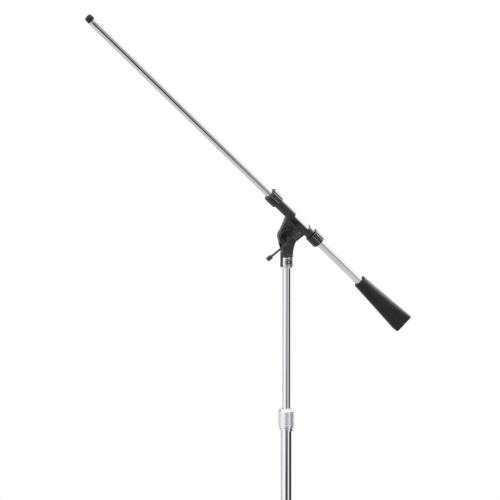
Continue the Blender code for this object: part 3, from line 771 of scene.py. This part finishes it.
neck = [
    *arc(cheek_radius, 215, -35, 49),
    (waist + 1.6 * MM, neck_top),
    (waist, neck_foot),
    (-waist, neck_foot),
    (-waist - 1.6 * MM, neck_top),
]
barrel = [
    (0, socket_top, 0),
    (socket_radius - 0.3 * MM, socket_top, 2.6 * MM),
    (socket_radius, socket_top - 4 * MM, 2 * MM),
    (socket_radius, socket_bottom, 1.2 * MM),
    (0, socket_bottom, 0),
]
mesh = bmesh.new()
prism(mesh, neck, -cheek_outer, cheek_outer)
roll(mesh, cheek_outer, 2.4 * MM)
turn(mesh, rounded(barrel), 96)
socket = piece("swivel_casting", mesh, swivel_frame, cast_enamel)
fuse(socket, 0.5 * MM, 4)
scoop_radius = 5.2 * MM
scoop_reach = 9.0 * MM
scoop_middle = -31.6 * MM
scoops = []
for side in (-1, 1):
    middle = Vector((0, side * (scoop_reach + scoop_radius), scoop_middle))
    along_x = Matrix.Translation(middle) @ Matrix.Rotation(math.pi / 2, 4, "Y")
    scoops.append(drill(scoop_radius, -20 * MM, 20 * MM, along_x))
carve(socket, *scoops)
fuse(socket, 0.45 * MM, 6)

slot = [
    (-30 * MM, slot_bottom),
    (30 * MM, slot_bottom),
    (30 * MM, 30 * MM),
    (-30 * MM, 30 * MM),
]
toward_front = Matrix.Rotation(math.pi / 2, 4, "X")
screw_clearance = 4.35 * MM
screw_hole = drill(screw_clearance, -20 * MM, 20 * MM, toward_front)
tube_hole = drill(upper_radius + slide_gap, socket_bottom - 5 * MM, socket_bottom + 4 * MM)
stud_hole = drill(stud_bore, socket_bottom + 3 * MM, socket_bottom + 16.5 * MM)
carve(socket, mill(slot, -cheek_inner, cheek_inner), screw_hole, tube_hole, stud_hole)
smooth(socket)
fit(socket, "swivel", "black_casting", "swivel_socket")

# The maker's place on the socket: a thin bright plate bent round its front, with a plain ring
# and dot as a neutral mark, and a bright rolled lip round the socket's mouth.

plate_metal = Finish("brushed_silver_plate")
brushing = plate_metal.noise(1500, 2, (1, 1, 0.05))
stain = plate_metal.noise(260, 3)
plate_metal.surface({
    "Base Color": plate_metal.mix(stain, (0.78, 0.78, 0.82, 1), (0.92, 0.92, 0.95, 1)),
    "Metallic": 1.0,
    "Roughness": 0.20 + 0.12 * brushing,
    "Normal": plate_metal.bump(brushing, 0.15, 0.00005),
})
ink = Finish("mark_enamel")
ink.surface({
    "Base Color": ink.mix(ink.noise(900, 2), (0.008, 0.008, 0.009, 1), (0.02, 0.02, 0.022, 1)),
    "Roughness": 0.22 + 0.1 * ink.noise(500, 2),
})


def wrapped(across, height, lift):
    """A point on the socket's face, from its distance round from the front and its height."""
    radius = socket_radius + lift
    angle = across / socket_radius
    return Vector((radius * math.sin(angle), -radius * math.cos(angle), height))


def bent_sheet(name, rows, lift, thickness, finish, cyclic):
    """A thin sheet from rows of (across, height) points, bent round the socket and given thickness."""
    mesh = bmesh.new()
    grid = [[mesh.verts.new(wrapped(x, z, lift)) for x, z in row] for row in rows]
    for first, second in zip(grid, grid[1:]):
        count = len(first) if cyclic else len(first) - 1
        for i in range(count):
            j = (i + 1) % len(first)
            mesh.faces.new((first[i], first[j], second[j], second[i]))
    bmesh.ops.remove_doubles(mesh, verts=mesh.verts, dist=1e-7)
    bmesh.ops.recalc_face_normals(mesh, faces=mesh.faces)
    sheet = piece(name, mesh, swivel_frame, finish)
    outside = sheet.data.polygons[0]
    inward = outside.normal.dot(Vector((outside.center.x, outside.center.y, 0))) < 0
    thicken = sheet.modifiers.new("thickness", "SOLIDIFY")
    thicken.thickness = thickness
    thicken.offset = -1 if inward else 1
    settle(sheet)
    smooth(sheet)
    fit(sheet, "swivel", "chrome" if finish is plate_metal else "black_casting")


plate_reach = math.radians(50) * socket_radius
plate_top = -38.2 * MM
plate_bottom = -56.2 * MM
plate_corner = 0.8 * MM
columns = 40
bands = 8
plate_rows = []
for i in range(bands + 1):
    height = plate_top + (plate_bottom - plate_top) * i / bands
    reach = plate_reach - (plate_corner if i in (0, bands) else 0)
    plate_rows.append([(-reach + 2 * reach * k / columns, height) for k in range(columns + 1)])
bent_sheet("socket_plate", plate_rows, 0.1 * MM, 0.3 * MM, plate_metal, False)

mark_middle = (plate_top + plate_bottom) / 2
mark_lift = 0.4 * MM


def mark_ring(name, inner, outer, thickness):
    """A flat ring of the mark, on top of the plate."""
    rows = [
        [(radius * math.cos(a), mark_middle + radius * math.sin(a))
         for a in (math.tau * k / 64 for k in range(64))]
        for radius in (outer, (inner + outer) / 2, inner)
    ]
    bent_sheet(name, rows, mark_lift, thickness, ink, True)


mark_ring("mark_rim", 5.2 * MM, 6.2 * MM, 0.25 * MM)
mark_ring("mark_field", 1.7 * MM, 4.2 * MM, 0.15 * MM)

corners = [
    (socket_radius - 0.6 * MM, socket_bottom + 2.4 * MM, 0.2 * MM),
    (socket_radius + 0.35 * MM, socket_bottom + 2.4 * MM, 0.4 * MM),
    (socket_radius + 0.45 * MM, socket_bottom + 0.6 * MM, 0.6 * MM),
    (socket_radius - 1.2 * MM, socket_bottom - 0.1 * MM, 0.5 * MM),
    (upper_radius + 0.6 * MM, socket_bottom - 0.1 * MM, 0.2 * MM),
    (upper_radius + 0.6 * MM, socket_bottom + 0.5 * MM, 0.2 * MM),
]
lip = turned("socket_lip", rounded(corners, closed=True), plate_metal, swivel_frame, 128)
fit(lip, "swivel", "chrome")


# ---------------------------------------------------------------- boom cradle
# The other half of the swivel, in the same gloss enamel: a tongue between the cheeks, a web that
# fans out from it, and a split sleeve over the boom with a window cut in its top.



def frame_along(foot, axis):
    """A frame at foot with Z along an axis in the XZ plane, and Y still toward the back."""
    axes = Matrix((Vector((axis.z, 0, -axis.x)), Vector((0, 1, 0)), axis))
    return Matrix.Translation(foot) @ axes.transposed().to_4x4()


boom_foot = Vector(joints["boom_roll"]["pos_m"])
boom_frame = frame_along(boom_foot, Vector(joints["boom_slide"]["axis"]))
cradle_low, cradle_high = extent("boom_cradle", boom_frame)
tube_end_low, tube_end_high = extent("boom_tube", boom_frame)
boom_radius = 7.95 * MM
foot = -(boom_foot - pivot).length
tongue_radius = 17.3 * MM
web_half = 6.6 * MM
sleeve_radius = 10.7 * MM
sleeve_thread = 10.1 * MM
sleeve_foot = -sleeve_radius + 3 * MM
mic_grip_inner = 60 * MM
weight_grip_inner = -32 * MM

web = [
    *arc(tongue_radius, 100, 268, 37, (foot, 0)),
    (foot + 8 * MM, -19.8 * MM),
    (sleeve_foot - 2 * MM, -21.5 * MM),
    (sleeve_foot, -22.5 * MM),
    (sleeve_foot, 28.5 * MM),
    (sleeve_foot - 2.5 * MM, 27 * MM),
    (foot + 9 * MM, 21.3 * MM),
]
sleeve = [
    (0, cradle_high.z, 0),
    (sleeve_thread, cradle_high.z, 0.4 * MM),
    (sleeve_thread, mic_grip_inner - 0.4 * MM, 0.2 * MM),
    (sleeve_radius, mic_grip_inner - 1.2 * MM, 0.6 * MM),
    (sleeve_radius, weight_grip_inner + 1.2 * MM, 0.6 * MM),
    (sleeve_thread, weight_grip_inner + 0.4 * MM, 0.2 * MM),
    (sleeve_thread, cradle_low.z, 0.4 * MM),
    (0, cradle_low.z, 0),
]
mesh = bmesh.new()
prism(mesh, web, -web_half, web_half)
roll(mesh, web_half, 1.0 * MM)
turn(mesh, rounded(sleeve), 96)
cradle = piece("cradle_casting", mesh, boom_frame, cast_enamel)
fuse(cradle, 0.55 * MM, 8)

rail = 1.0 * MM
window = [
    (rail, 17.5 * MM),
    (3 * MM, 19.5 * MM),
    (20 * MM, 24 * MM),
    (20 * MM, -20 * MM),
    (3 * MM, -18.6 * MM),
    (rail, -17.5 * MM),
]
slits = []
for start, end in ((25 * MM, cradle_high.z + 2 * MM), (cradle_low.z - 2 * MM, -23 * MM)):
    turned_down = Matrix.Rotation(math.radians(-109), 4, "Z")
    slit = [(boom_radius - 1 * MM, start), (14 * MM, start), (14 * MM, end), (boom_radius - 1 * MM, end)]
    slits.append(mill(slit, -0.5 * MM, 0.5 * MM, turned_down))
pin_place = Matrix.Translation((foot, 0, 0)) @ toward_front
bore = drill(boom_radius + slide_gap, cradle_low.z - 5 * MM, cradle_high.z + 5 * MM)
carve(cradle, bore, mill(window, -15 * MM, 15 * MM), *slits,
      drill(screw_clearance, -20 * MM, 20 * MM, pin_place))
smooth(cradle)
fit(cradle, "cradle", "black_casting", "boom_cradle")

fibre = Finish("friction_fibre")
weave = fibre.noise(1400, 4)
fibre.surface({
    "Base Color": fibre.mix(weave, (0.08, 0.035, 0.018, 1), (0.17, 0.08, 0.04, 1)),
    "Roughness": 0.7 + 0.2 * weave,
    "Normal": fibre.bump(weave, 0.4, 0.0002),
})
dress(fibre, "front_friction_washer", "rear_friction_washer")


# ---------------------------------------------------------------- clamp screw and T-bar
# The screw through the cheeks has a drilled barrel head. A rod slides in the hole and turns the
# screw: blackened steel, with a crimped knob at each end. A washer and a hexagon nut finish it.

clamp_frame = Matrix.Translation(pivot) @ toward_front
screw_low, screw_high = extent("clamp_screw", clamp_frame)
bar_plane = 31 * MM
bar_frame = frame_along(
    pivot - Vector((0, bar_plane, 0)), Vector(joints["t_handle_slide"]["axis"]))
bar_low, bar_high = extent("t_bar", bar_frame)


def blacked(name, shade, brown, polish):
    """Oil-blackened steel, a little browned, and rubbed bright on its corners."""
    steel = Finish(name)
    patch = steel.noise(420, 3)
    turning = steel.noise(3000, 2, (1, 1, 0.06))
    edge = steel.node("NewGeometry", output="Pointiness")
    rubbed = steel.step(edge + 0.04 * patch, 0.57, 0.68) * 0.5
    dark = (shade, shade * (1 - 0.1 * brown), shade * (1 - 0.4 * brown), 1)
    light = (shade * 2, shade * (2 - 0.2 * brown), shade * (2 - brown), 1)
    base = steel.mix(steel.step(patch, 0.35, 0.75), dark, light)
    steel.surface({
        "Base Color": steel.mix(rubbed, base, (0.22, 0.21, 0.18, 1)),
        "Metallic": 0.55 + 0.4 * rubbed,
        "Roughness": polish + 0.15 * (patch - 0.5),
        "Normal": steel.bump(turning, 0.25, 0.0001),
    })
    return steel


bar_steel = blacked("browned_steel", 0.045, 0.6, 0.28)
screw_steel = blacked("blackened_steel", 0.024, 0.0, 0.32)
shank = 4.0 * MM
rod_hole = 2.35 * MM
head_radius = 8.0 * MM
head_back = 22.5 * MM
collar_back = 12.3 * MM
corners = [
    (0, screw_high.z, 0),
    (4.8 * MM, screw_high.z - 0.2 * MM, 2 * MM),
    (head_radius - 0.8 * MM, screw_high.z - 1.0 * MM, 1.5 * MM),
    (head_radius, screw_high.z - 3.0 * MM, 1 * MM),
    (head_radius, head_back, 1.0 * MM),
    (6.0 * MM, head_back - 1.5 * MM, 0.8 * MM),
    (6.0 * MM, collar_back, 0.4 * MM),
    (shank, collar_back, 0.2 * MM),
    (shank, screw_low.z, 0.8 * MM),
    (0, screw_low.z, 0),
]
screw = turned("clamp_screw_turned", rounded(corners), screw_steel, clamp_frame, 96, closed=False)
rod_place = clamp_frame.inverted() @ bar_frame
carve(screw, drill(rod_hole, -15 * MM, 15 * MM, rod_place, 48))
smooth(screw)
fit(screw, "tilt_screw", "black_steel", "clamp_screw")

washer_low, washer_high = extent("clamp_washer", clamp_frame)
corners = [
    (screw_clearance, washer_high.z, 0.2 * MM),
    (washer_high.x, washer_high.z, 0.4 * MM),
    (washer_high.x, washer_low.z, 0.2 * MM),
    (screw_clearance, washer_low.z, 0.2 * MM),
]
washer = turned("pressed_washer", rounded(corners, closed=True), screw_steel, clamp_frame)
fit(washer, "swivel", "black_steel", "clamp_washer")

nut_low, nut_high = extent("clamp_nut", clamp_frame)
nut_reach = 7.5 * MM
nut_bore = shank + 0.15 * MM
flat_reach = nut_reach * math.cos(math.pi / 6)


def hexagon(radius, height, angle):
    """Flat sides, which the chamfered ends cut back in a curve."""
    if radius < flat_reach - 1 * MM:
        return radius
    local = (angle + math.pi / 6) % (math.pi / 3) - math.pi / 6
    return min(radius, flat_reach / math.cos(local))


corners = [
    (nut_bore, nut_high.z, 0.3 * MM),
    (flat_reach - 0.3 * MM, nut_high.z, 0),
    (nut_reach, nut_high.z - 0.8 * MM, 0),
    (nut_reach, nut_low.z + 0.8 * MM, 0),
    (flat_reach - 0.3 * MM, nut_low.z, 0),
    (nut_bore, nut_low.z, 0.3 * MM),
]
nut = turned("hexagon_nut", rounded(corners, closed=True), screw_steel, clamp_frame, 96, hexagon, crease=20)
fit(nut, "swivel", "black_steel", "clamp_nut")

bar_radius = 2.0 * MM
corners = [
    (0, bar_high.z, 0),
    (bar_radius, bar_high.z, 0.8 * MM),
    (bar_radius, bar_low.z, 0.5 * MM),
    (0, bar_low.z, 0),
]
bar = turned("sliding_rod", rounded(corners), bar_steel, bar_frame, 48, closed=False)
fit(bar, "t_handle", "black_steel", "t_bar")

crimp_count = 14


def crimped(radius, height, angle):
    """Crimped flutes round a knob."""
    return radius - 0.25 * MM * (0.5 + 0.5 * math.cos(crimp_count * angle)) if radius > 3.4 * MM else radius


for node, open_end in (("t_bar_knob_low", 1), ("t_bar_knob_high", 0)):
    knob_low, knob_high = extent(node, bar_frame)
    knob_radius = knob_high.x
    knob_bore = bar_radius + 0.3 * MM
    corners = [
        (knob_bore, knob_high.z, 0.3 * MM),
        (knob_radius, knob_high.z, 0.9 * MM),
        (knob_radius, knob_high.z - 2.2 * MM, 0.3 * MM),
        (knob_radius - 0.3 * MM, knob_high.z - 2.6 * MM, 0.3 * MM),
        (knob_radius, knob_high.z - 3.0 * MM, 0.3 * MM),
        (knob_radius, knob_low.z, 1.0 * MM),
    ]
    if open_end:
        corners += [(0, knob_low.z, 0), (0, knob_low.z + 0.9 * MM, 0), (knob_bore, knob_low.z + 0.9 * MM, 0)]
    else:
        corners.append((knob_bore, knob_low.z, 0.3 * MM))
    profile = rounded(corners, closed=not open_end)
    if open_end:
        profile.append(profile[0])
    knob = turned(node + "_crimped", profile, bar_steel, bar_frame, 112, crimped, closed=not open_end)
    mesh = bmesh.new()
    mesh.from_mesh(knob.data)
    bmesh.ops.remove_doubles(mesh, verts=mesh.verts, dist=1e-6)
    mesh.to_mesh(knob.data)
    mesh.free()
    smooth(knob)
    fit(knob, "t_handle", "black_steel", node)


# ---------------------------------------------------------------- sleeve grips
# A moulded black grip nut on each end of the sleeve squeezes a split brass collet on the boom.
# Each has ten flat lobes with narrow grooves between them, rounded at the ends.

lobe_count = 10
lobe_sides = 16
lobe_radius = 13.9 * MM
lobe_root = 11.2 * MM
groove_depth = 1.5 * MM
grip_length = 23 * MM
grip_plastic = enamel("moulded_black", 0.007, 0.00004)


def lobed(radius, height, angle):
    """Flat lobes and round-bottomed grooves, one groove at the front, on the grip's outside."""
    share = (radius - lobe_root) / (lobe_radius - lobe_root)
    if share <= 0:
        return radius
    pitch = math.tau / lobe_count
    from_groove = (angle + math.pi / 2 + pitch / 2) % pitch - pitch / 2
    from_flat = pitch / 2 - abs(from_groove)
    flat = math.cos(0.8 * pitch / 2) / math.cos(from_flat)
    groove = math.exp(-((from_groove / (0.17 * pitch)) ** 4))
    return radius * (1 - share * (1 - min(1, flat))) - share * groove_depth * groove


for name, node, inner_end, outward, body in (
    ("mic_side_grip_nut", "mic_side_grip", mic_grip_inner, 1, "mic_grip"),
    ("weight_side_grip_nut", "weight_side_grip", weight_grip_inner, -1, "weight_grip"),
):
    outer_end = inner_end + outward * grip_length
    thread_bore = sleeve_thread + 0.3 * MM
    mouth = boom_radius + 0.5 * MM
    corners = [
        (thread_bore, inner_end, 0.3 * MM),
        (lobe_radius, inner_end, 1.6 * MM),
        (lobe_radius, outer_end, 1.6 * MM),
        (lobe_radius - 3.2 * MM, outer_end, 0.5 * MM),
        (lobe_radius - 3.6 * MM, outer_end - outward * 0.7 * MM, 0.4 * MM),
        (mouth, outer_end - outward * 0.7 * MM, 0.4 * MM),
        (mouth, outer_end - outward * 2.4 * MM, 0.3 * MM),
        (thread_bore, outer_end - outward * 6 * MM, 0.3 * MM),
    ]
    profile = rounded(corners, closed=True)
    if outward > 0:
        profile.reverse()
    grip = turned(name, profile, grip_plastic, boom_frame, lobe_count * lobe_sides, lobed)
    fit(grip, body, "black_casting", node)

brass = Finish("turned_brass")
tarnish = brass.noise(300, 3)
brass.surface({
    "Base Color": brass.mix(tarnish, (0.48, 0.34, 0.13, 1), (0.68, 0.52, 0.24, 1)),
    "Metallic": 1.0,
    "Roughness": 0.25 + 0.15 * tarnish,
    "Normal": brass.bump(brass.noise(4000, 2, (1, 1, 0.05)), 0.2, 0.0001),
})
dress(brass, "mic_side_collet", "weight_side_collet")


# ---------------------------------------------------------------- boom tube
# One length of chromed steel tube, rolled over a little at its upper end. The black threaded
# fitting pressed in that end takes the microphone's clip.

lip_radius = tube_end_high.x
boom_bore = boom_radius - 1.2 * MM
corners = [
    (boom_bore, tube_end_high.z, 0.3 * MM),
    (lip_radius, tube_end_high.z, 0.6 * MM),
    (lip_radius, tube_end_high.z - 1.5 * MM, 0.5 * MM),
    (boom_radius, tube_end_high.z - 2.4 * MM, 0.6 * MM),
    (boom_radius, tube_end_low.z, 0.4 * MM),
    (boom_bore, tube_end_low.z, 0.3 * MM),
]
boom = turned("boom_pipe", rounded(corners, closed=True), tube_chrome, boom_frame, 128)
fit(boom, "boom", "chrome", "boom_tube")

fitting_low, fitting_high = extent("mic_fitting", boom_frame)
screw_thread = 7.5 * MM
crest_pitch = 0.94 * MM
thread_depth = 0.45 * MM
thread_start = tube_end_high.z + 0.3 * MM


def threaded(radius, height, angle):
    """A running thread, which fades out at the tip's chamfer."""
    if radius < screw_thread - 0.2 * MM or height < thread_start:
        return radius
    turns = (height / crest_pitch - angle / math.tau) % 1
    return radius - thread_depth * (1 - abs(2 * turns - 1))


fitting_steps = 84
top = fitting_high.z - 0.9 * MM
threads = [
    (screw_thread, top + (thread_start - top) * i / fitting_steps) for i in range(fitting_steps + 1)
]
profile = [
    (0, fitting_high.z - 0.5 * MM),
    (3.0 * MM, fitting_high.z - 0.5 * MM),
    (3.3 * MM, fitting_high.z),
    (screw_thread - 0.9 * MM, fitting_high.z),
    *threads,
    (boom_bore - 0.3 * MM, thread_start),
    (boom_bore - 0.3 * MM, fitting_low.z),
    (0, fitting_low.z),
]
fitting = turned("threaded_fitting", profile, screw_steel, boom_frame, 96, threaded, closed=False, crease=50)
fit(fitting, "boom", "black_steel", "mic_fitting")


# ---------------------------------------------------------------- counterweight
# A cast-iron weight in black stoving paint, round where it grips the boom and square with
# rounded edges at its far end. A socket set screw holds it.

weight_low, weight_high = extent("counterweight", boom_frame)
weight_length = weight_high.z - weight_low.z
small_half = 12.5 * MM
large_half = weight_high.x
square_corner = 5.5 * MM
weight_sides = 128


def section(share, angle):
    """The weight's radius in a direction: a round at its small end (0), a soft square at 1."""
    half = small_half + (large_half - small_half) * share
    corner = min(half * (1 - share) ** 0.7 + square_corner * share, 0.999 * half)
    c, s = abs(math.cos(angle)), abs(math.sin(angle))
    inner = half - corner
    reach = half / max(c, s)
    if min(c, s) * reach > inner:
        middle = inner * (c + s)
        reach = middle + math.sqrt(max(0.0, middle**2 - (2 * inner**2 - corner**2)))
    return reach


def weight_skin(radius, height, angle):
    """radius is a share of the section's radius outside the bore, and metres inside it."""
    if radius < 0.5:
        return radius
    share = min(1, max(0, (weight_high.z - height) / weight_length))
    return section(share, angle) - (1 - radius)


bore_radius = boom_radius + 0.3 * MM
bore_depth = 32 * MM
edge_round = 1.8 * MM
small_edge = [(1 - edge_round * (1 - math.sin(a)), weight_high.z - edge_round * (1 - math.cos(a)))
              for a in (math.radians(15 * k) for k in range(7))]
large_edge = [(1 - edge_round * (1 - math.cos(a)), weight_low.z + edge_round * (1 - math.sin(a)))
              for a in (math.radians(15 * k) for k in range(7))]
flank_steps = 40
flank = [(1, weight_high.z - edge_round - (weight_length - 2 * edge_round) * i / flank_steps)
         for i in range(1, flank_steps)]
profile = [
    (0, weight_high.z - bore_depth),
    (bore_radius, weight_high.z - bore_depth),
    (bore_radius, weight_high.z - 0.6 * MM),
    (bore_radius + 0.6 * MM, weight_high.z),
    *small_edge,
    *flank,
    *large_edge,
    (0.5 * large_half, weight_low.z),
    (0, weight_low.z),
]
weight_paint = iron_paint("stoved_iron_paint", 0.017, 0.38, 1300, 0.00004, 0.4, 0.22)
weight = turned("cast_weight", profile, weight_paint, boom_frame, weight_sides, weight_skin, closed=False)
set_screw_hole = 2.8 * MM
set_screw_low, set_screw_high = extent("weight_screw", boom_frame)
screw_spot = Matrix.Translation((0, 0, (set_screw_low.z + set_screw_high.z) / 2)) @ Matrix.Rotation(
    (-1 if set_screw_high.x <= 0 else 1) * math.pi / 2, 4, "Y")
carve(weight, drill(set_screw_hole, 6 * MM, 20 * MM, screw_spot, 48))
smooth(weight)
fit(weight, "boom", "black_iron", "counterweight")
dress(zinc_steel, "weight_screw")
